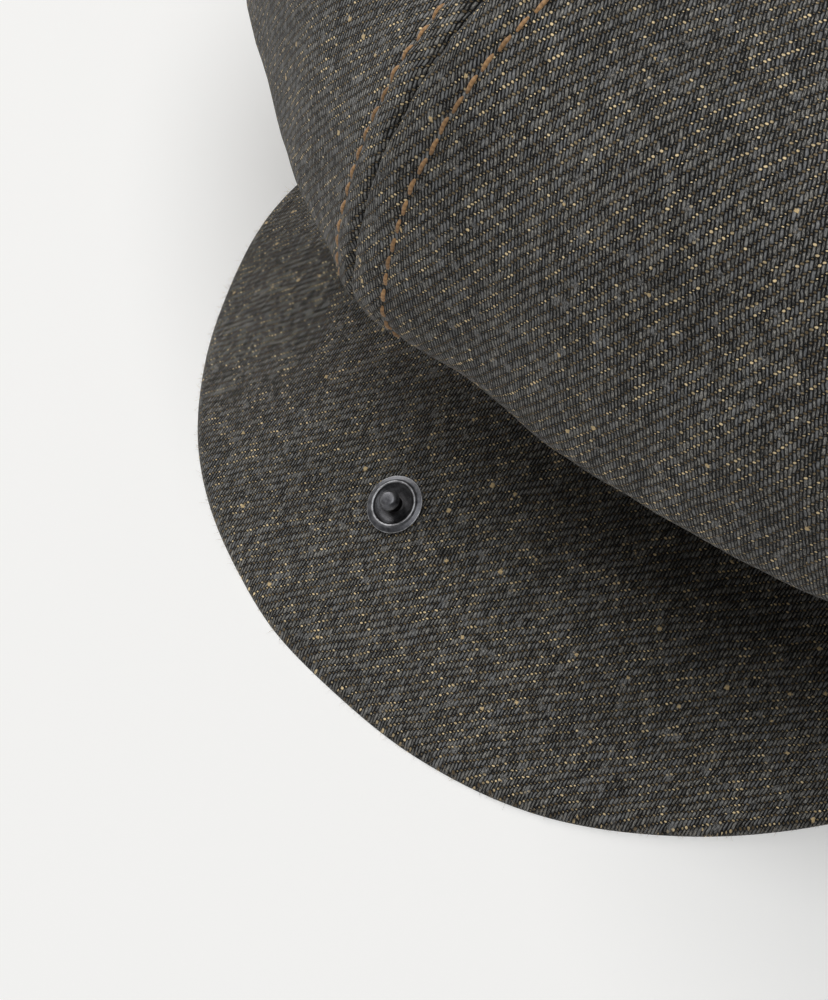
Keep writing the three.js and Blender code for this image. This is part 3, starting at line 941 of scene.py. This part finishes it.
class Graph:
    """Short calls for building a material's nodes."""

    def __init__(self, name):
        self.material = bpy.data.materials.new(name)
        self.material.use_nodes = True
        self.tree = self.material.node_tree
        self.tree.nodes.clear()

    def node(self, kind, **settings):
        made = self.tree.nodes.new(kind)
        for key, value in settings.items():
            setattr(made, key, value)
        return made

    def link(self, source, socket):
        self.tree.links.new(source, socket)

    def set(self, socket, value):
        if isinstance(value, bpy.types.NodeSocket):
            self.link(value, socket)
        else:
            socket.default_value = value

    def math(self, operation, *values, clamp=False):
        made = self.node("ShaderNodeMath", operation=operation, use_clamp=clamp)
        for socket, value in zip(made.inputs, values):
            self.set(socket, value)
        return made.outputs[0]

    def times(self, first, second):
        return self.math("MULTIPLY", first, second)

    def plus(self, first, second):
        return self.math("ADD", first, second)

    def minus(self, first, second):
        return self.math("SUBTRACT", first, second)

    def vector(self, x, y, z=0.0):
        made = self.node("ShaderNodeCombineXYZ")
        for socket, value in zip(made.inputs, (x, y, z)):
            self.set(socket, value)
        return made.outputs[0]

    def ramp(self, value, low, high, to_low=0.0, to_high=1.0):
        made = self.node("ShaderNodeMapRange", interpolation_type="SMOOTHSTEP")
        for socket, item in zip(made.inputs, (value, low, high, to_low, to_high)):
            self.set(socket, item)
        return made.outputs[0]

    def mix(self, share, first, second):
        made = self.node("ShaderNodeMix", data_type="RGBA")
        self.set(made.inputs["Factor"], share)
        self.set(made.inputs[6], first)
        self.set(made.inputs[7], second)
        return made.outputs[2]

    def blend(self, share, first, second):
        """A number between two numbers."""
        first_part = self.times(first, self.minus(1.0, share))
        return self.plus(first_part, self.times(second, share))

    def off_middle(self, value, factor):
        """How far a number from 0 to 1 is from the middle, times a factor."""
        return self.times(self.minus(value, 0.5), factor)

    def scale_colour(self, colour, factor):
        made = self.node("ShaderNodeVectorMath", operation="SCALE")
        self.set(made.inputs[0], colour[:3] if isinstance(colour, tuple) else colour)
        self.set(made.inputs["Scale"], factor)
        return made.outputs[0]

    def noise(self, vector, scale, detail=2.0, roughness=0.5, output=0):
        made = self.node("ShaderNodeTexNoise")
        self.set(made.inputs["Vector"], vector)
        self.set(made.inputs["Scale"], scale)
        self.set(made.inputs["Detail"], detail)
        self.set(made.inputs["Roughness"], roughness)
        return made.outputs[output]

    def cells(self, vector, scale, **settings):
        """Scattered cells: the node, and their random colour as three separate numbers."""
        made = self.node("ShaderNodeTexVoronoi", voronoi_dimensions="2D", **settings)
        self.link(vector, made.inputs["Vector"])
        made.inputs["Scale"].default_value = scale
        apart = self.node("ShaderNodeSeparateColor")
        self.link(made.outputs["Color"], apart.inputs[0])
        return made, apart.outputs

    def strayed(self, vector, source, scale, detail, reach):
        """A vector moved by smooth noise over the source, half of the reach each way."""
        off = self.node("ShaderNodeVectorMath", operation="SUBTRACT")
        self.set(off.inputs[0], self.noise(source, scale, detail, output="Color"))
        off.inputs[1].default_value = (0.5, 0.5, 0.5)
        moved = self.node("ShaderNodeVectorMath", operation="MULTIPLY_ADD")
        self.set(moved.inputs[0], off.outputs[0])
        moved.inputs[1].default_value = reach
        self.set(moved.inputs[2], vector)
        return moved.outputs[0]

    def white(self, vector):
        made = self.node("ShaderNodeTexWhiteNoise")
        self.set(made.inputs["Vector"], vector)
        return made.outputs["Value"]

    def position(self):
        return self.node("ShaderNodeTexCoord").outputs["Object"]

    def attribute(self, name, output):
        made = self.node("ShaderNodeAttribute", attribute_type="GEOMETRY", attribute_name=name)
        return made.outputs[output]

    def finish(self, settings, colour, roughness=None, relief=None, depth=0.0):
        """The shader: settings are constants, and the relief is as deep as depth in metres."""
        shader = self.node("ShaderNodeBsdfPrincipled")
        output = self.node("ShaderNodeOutputMaterial")
        for key, value in settings.items():
            shader.inputs[key].default_value = value
        self.link(colour, shader.inputs["Base Color"])
        if roughness is not None:
            self.link(roughness, shader.inputs["Roughness"])
        if relief is not None:
            bump = self.node("ShaderNodeBump")
            bump.inputs["Strength"].default_value = 1.0
            bump.inputs["Distance"].default_value = depth
            self.link(relief, bump.inputs["Height"])
            self.link(bump.outputs[0], shader.inputs["Normal"])
        self.link(shader.outputs[0], output.inputs[0])
        return self.material


# How deep each material's fine relief is in metres, and the colours.
WEAVE_DEPTH = 0.00028
THREAD_DEPTH = 0.00008
METAL_DEPTH = 0.000015
WARP_DARK = (0.030, 0.0285, 0.026, 1)
WARP_LIGHT = (0.400, 0.383, 0.348, 1)
WARP_COOL = (0.205, 0.210, 0.218, 1)
WEFT_DARK = (0.120, 0.085, 0.045, 1)
WEFT_LIGHT = (1.000, 0.780, 0.450, 1)
SLUB_GREY = (0.172, 0.172, 0.171, 1)
NEP_TAN = (0.640, 0.480, 0.260, 1)
THREAD_DARK = (0.190, 0.095, 0.040, 1)
THREAD_LIGHT = (0.560, 0.330, 0.150, 1)
FIBRE_GREY = (0.110, 0.100, 0.090, 1)
FIBRE_TAN = (0.500, 0.400, 0.270, 1)
METAL_DARK = (0.090, 0.091, 0.099, 1)
METAL_LIGHT = (0.250, 0.251, 0.268, 1)
METAL_WORN_HIGHLIGHT = (0.780, 0.780, 0.800, 1)
RECESS_SHADE_COLOUR = (0.028, 0.026, 0.025, 1)
FLOOR_DARK = (0.875, 0.862, 0.842, 1)
FLOOR_LIGHT = (0.905, 0.894, 0.876, 1)

# Tufts and neps in each millimetre of cloth.
TUFT_DENSITY = 0.27
NEP_DENSITY = 0.2


def cloth_apart(g):
    """The place on the flat cloth in mm, as a vector, and the same let to wander a little."""
    flat = g.attribute("cloth", "Vector")
    wandered = g.strayed(flat, flat, 0.22, 2.0, (0.75, 0.75, 0))
    shaken = g.strayed(wandered, flat, 1.1, 1.0, (0.3, 0.22, 0))
    apart = g.node("ShaderNodeSeparateXYZ")
    g.link(shaken, apart.inputs[0])
    return flat, apart.outputs[0], apart.outputs[1]


def twill_material():
    """Three-up, one-down twill: charcoal warp floats over a tan weft, with slubs and neps."""
    g = Graph("twill")
    flat, across, along = cloth_apart(g)
    x = g.math("DIVIDE", across, WARP_PITCH)
    y = g.math("DIVIDE", along, WEFT_PITCH)
    column = g.math("FLOOR", x)
    row = g.math("FLOOR", y)
    in_column = g.minus(x, column)
    in_row = g.minus(y, row)
    diagonal = g.minus(column, row)
    float_number = g.math("FLOOR", g.math("DIVIDE", diagonal, 4.0))
    stage = g.math("FLOORED_MODULO", diagonal, 4.0)
    is_weft = g.math("LESS_THAN", stage, 0.5)
    float_tone = g.white(g.vector(column, float_number, 2.0))

    # A warp float is round across, dips at both ends, and is thick or thin by its own amount.
    half_width = g.ramp(float_tone, 0.0, 1.0, 0.31, 0.47)
    off_axis = g.math("DIVIDE", g.minus(in_column, 0.5), half_width)
    flatness = g.minus(1.0, g.times(off_axis, off_axis))
    round_warp = g.math("SQRT", g.math("MAXIMUM", 0.0, flatness))
    run = g.plus(g.minus(3.0, stage), in_row)
    rise = g.math("SINE", g.times(run, math.pi / 3))
    hump = g.math("POWER", g.math("MAXIMUM", 0.0, rise), 0.5)
    warp_height = g.times(round_warp, g.blend(hump, 0.32, 1.0))

    # The weft shows as a short dash between two floats.
    cell_tone = g.white(g.vector(column, row, 5.0))
    cell_size = g.white(g.vector(column, row, 9.0))
    dash_x = g.off_middle(in_column, 1.6)
    dash_y = g.off_middle(in_row, 1.75)
    squares = g.times(dash_x, dash_x), g.times(dash_y, dash_y)
    dash_radius = g.math("SQRT", g.plus(*squares))
    dash = g.ramp(g.math("DIVIDE", dash_radius, g.ramp(cell_size, 0.0, 1.0, 0.62, 1.2)), 1.0, 0.45)
    weft_height = g.times(dash, 0.78)
    height = g.blend(is_weft, warp_height, weft_height)

    # Colour by yarn, by float and by fibre.
    yarn_tone = g.white(g.vector(column, 3.0))
    fibre_place = g.vector(g.times(across, 7.0), g.times(along, 2.0))
    fibre = g.noise(fibre_place, 1.0, 3.0, 0.7)
    warp_tone = g.times(yarn_tone, 0.18)
    warp_tone = g.plus(warp_tone, g.times(float_tone, 0.3))
    warp_tone = g.math("ADD", warp_tone, g.ramp(fibre, 0.4, 0.66, -0.2, 0.7), clamp=True)
    warp_colour = g.mix(warp_tone, WARP_DARK, WARP_LIGHT)
    cool_share = g.ramp(g.white(g.vector(column, float_number, 8.0)), 0.55, 1.0, 0.0, 0.6)
    warp_colour = g.mix(cool_share, warp_colour, WARP_COOL)
    shown = g.ramp(g.noise(flat, 0.24, 3.0, 0.6), 0.4, 0.64, 0.16, 1.0)
    weft_tone = g.times(cell_tone, shown)
    weft_colour = g.mix(g.ramp(weft_tone, 0.02, 0.75), WEFT_DARK, WEFT_LIGHT)
    colour = g.mix(g.times(is_weft, dash), warp_colour, weft_colour)

    # Slubs: soft tufts of loose grey fibre that cover the yarns below them.
    tufts, tuft_draw = g.cells(flat, TUFT_DENSITY)
    tuft_size = g.ramp(tuft_draw[1], 0.3, 1.0, 0.0, 0.26)
    tuft_fray = g.off_middle(g.noise(flat, 1.3, 3.0), 0.34)
    tuft_gap = g.minus(tuft_size, g.plus(tufts.outputs["Distance"], tuft_fray))
    slub = g.times(g.ramp(tuft_gap, -0.04, 0.14), 0.62)
    slub_colour = g.scale_colour(SLUB_GREY, g.ramp(fibre, 0.4, 0.62, 0.3, 1.9))
    colour = g.mix(slub, colour, slub_colour)
    height = g.blend(slub, height, g.ramp(fibre, 0.2, 0.8, 0.7, 1.05))

    # Neps: small tan knots caught in the yarn.
    neps, nep_draw = g.cells(flat, NEP_DENSITY, distance="MINKOWSKI")
    neps.inputs["Exponent"].default_value = 3.2
    nep_size = g.ramp(nep_draw[0], 0.74, 1.0, 0.0, 0.1)
    nep_fray = g.off_middle(g.noise(flat, 3.0, 2.0), 0.13)
    nep_gap = g.minus(nep_size, g.plus(neps.outputs["Distance"], nep_fray))
    nep = g.ramp(nep_gap, 0.0, 0.03)
    colour = g.mix(nep, colour, g.scale_colour(NEP_TAN, g.ramp(fibre, 0.3, 0.7, 0.7, 1.15)))
    height = g.blend(nep, height, 1.15)

    # The gaps between yarns get painted shade, darker where the yarn lies low, and the whole cloth
    # varies a little in tone.
    painted_gap_shade = g.ramp(height, 0.22, 0.92, 0.02, 1.0)
    patch = g.ramp(g.noise(flat, 0.035, 3.0), 0.3, 0.7, 0.88, 1.12)
    colour = g.scale_colour(colour, g.times(painted_gap_shade, patch))
    roughness = g.ramp(fibre, 0.3, 0.7, 0.82, 0.98)
    settings = {"Sheen Weight": 0.12, "Sheen Roughness": 0.5, "Specular IOR Level": 0.2}
    return g.finish(settings, colour, roughness, height, WEAVE_DEPTH)


def thread_material():
    """Orange-brown sewing thread: two plies twisted together."""
    g = Graph("sewing_thread")
    apart = g.node("ShaderNodeSeparateXYZ")
    g.link(g.attribute("cloth", "Vector"), apart.inputs[0])
    position = g.position()
    twist = g.math("SINE", g.times(apart.outputs[1], 9.0))
    fibre = g.noise(position, 2600.0, 3.0, 0.7)
    tone = g.math("ADD", g.times(twist, 0.18), fibre, clamp=True)
    worn = g.noise(position, 110.0, 2.0)
    colour = g.mix(tone, THREAD_DARK, THREAD_LIGHT)
    colour = g.scale_colour(colour, g.ramp(worn, 0.3, 0.7, 0.7, 1.15))
    roughness = g.ramp(fibre, 0.3, 0.7, 0.55, 0.8)
    settings = {"Sheen Weight": 0.15, "Specular IOR Level": 0.35}
    return g.finish(settings, colour, roughness, tone, THREAD_DEPTH)


def fuzz_material():
    """Loose wool fibre, grey to tan."""
    g = Graph("loose_fibre")
    tone = g.noise(g.position(), 900.0, 2.0)
    colour = g.mix(g.ramp(tone, 0.35, 0.65), FIBRE_GREY, FIBRE_TAN)
    return g.finish({"Roughness": 0.8, "Specular IOR Level": 0.2}, colour)


def metal_material():
    """Dark plated metal, satin, with painted shade in its recesses, and brighter on its sharp
    outward edges from edge wear and a painted highlight.
    """
    g = Graph("gunmetal")
    position = g.position()
    mottle = g.noise(position, 900.0, 4.0, 0.6)
    fine = g.noise(position, 5200.0, 2.0, 0.6)
    # Sharp outward edges are brighter: partly edge wear, partly a painted highlight.
    worn = g.times(g.attribute("worn", "Fac"), g.ramp(mottle, 0.3, 0.6, 0.35, 1.0))
    recess_occlusion = g.node("ShaderNodeAmbientOcclusion", samples=8, only_local=True)
    recess_occlusion.inputs["Distance"].default_value = 0.004
    tone = g.plus(g.times(mottle, 0.7), g.times(fine, 0.3))
    tone = g.ramp(tone, 0.3, 0.7)
    colour = g.mix(tone, METAL_DARK, METAL_LIGHT)
    colour = g.mix(g.times(worn, 0.75), colour, METAL_WORN_HIGHLIGHT)
    # Painted shade: the colour goes dark in recesses, where the ambient occlusion finds the metal
    # hemmed in.
    recess_shade = g.ramp(recess_occlusion.outputs["AO"], 0.5, 0.95)
    colour = g.mix(recess_shade, RECESS_SHADE_COLOUR, colour)
    roughness = g.ramp(tone, 0.0, 1.0, 0.42, 0.56)
    return g.finish({"Metallic": 1.0}, colour, roughness, fine, METAL_DEPTH)


def floor_material():
    g = Graph("pale_floor")
    tone = g.noise(g.position(), 2.0, 2.0)
    colour = g.mix(tone, FLOOR_DARK, FLOOR_LIGHT)
    settings = {
        "Roughness": 0.75,
        "Specular IOR Level": 0.2,
        "Emission Color": (1.0, 0.998, 0.99, 1),
        "Emission Strength": 0.16,
    }
    return g.finish(settings, colour)


# Camera, floor and light

CAMERA_FROM_STUD = Vector((0.2017, -0.1282, 0.3634))
CAMERA_BACK = Vector((0.4770, -0.3129, 0.8214))
FOCAL_MM = 81.25
SENSOR_MM = 36.0
FLOOR_HALF_SIDE = 3.0
WORLD_COLOUR = (1.0, 0.99, 0.975, 1)
WORLD_STRENGTH = 0.05

# Name, place, aim, size, watts and colour of each light.
LIGHTS = [
    ("window", (-1.3, -0.3, 1.1), (0, -0.02, 0.05), 0.8, 11, (1.0, 0.99, 0.975)),
    ("softbox", (0.34, -0.27, 1.9), (0, -0.05, 0.0), 1.2, 22.5, (0.965, 0.984, 1.0)),
]


def camera(stud):
    data = bpy.data.cameras.new("camera")
    data.lens = FOCAL_MM
    data.sensor_width = SENSOR_MM
    data.clip_start = 0.01
    made = add_object("camera", data)
    floor_under_stud = Vector((0.0, stud[1] * MM, 0.0))
    made.location = floor_under_stud + CAMERA_FROM_STUD
    made.rotation_euler = (-CAMERA_BACK).to_track_quat("-Z", "Y").to_euler()
    bpy.context.scene.camera = made


def area_light(name, place, aim, size, watts, colour):
    data = bpy.data.lights.new(name, "AREA")
    data.shape = "DISK"
    data.size = size
    data.energy = watts
    data.color = colour
    made = add_object(name, data)
    made.location = place
    made.rotation_euler = (Vector(aim) - Vector(place)).to_track_quat("-Z", "Y").to_euler()


def surroundings():
    mesh = bpy.data.meshes.new("floor")
    half = FLOOR_HALF_SIDE
    corners = [(-half, -half, 0), (half, -half, 0), (half, half, 0), (-half, half, 0)]
    mesh.from_pydata(corners, [], [(0, 1, 2, 3)])
    mesh.materials.append(floor_material())
    floor = add_object("floor", mesh)

    world = bpy.data.worlds.new("soft_surround")
    world.use_nodes = True
    background = world.node_tree.nodes["Background"]
    background.inputs["Color"].default_value = WORLD_COLOUR
    background.inputs["Strength"].default_value = WORLD_STRENGTH
    bpy.context.scene.world = world
    for light in LIGHTS:
        area_light(*light)
    bpy.context.scene.view_settings.view_transform = "Standard"


def build():
    stud, normal = stud_place()
    camera(stud)
    surroundings()
    twill = twill_material()
    thread = thread_material()
    metal = metal_material()
    for number in range(1, PANEL_COUNT + 1):
        crown_panel(number, twill)
        seam_stitching(number, thread)
    headband(twill)
    peak_piece(twill, stud)
    edge_fuzz(fuzz_material())
    snap_pieces(metal, stud, normal)
    socket_piece(metal)
    button_piece(twill)


build()
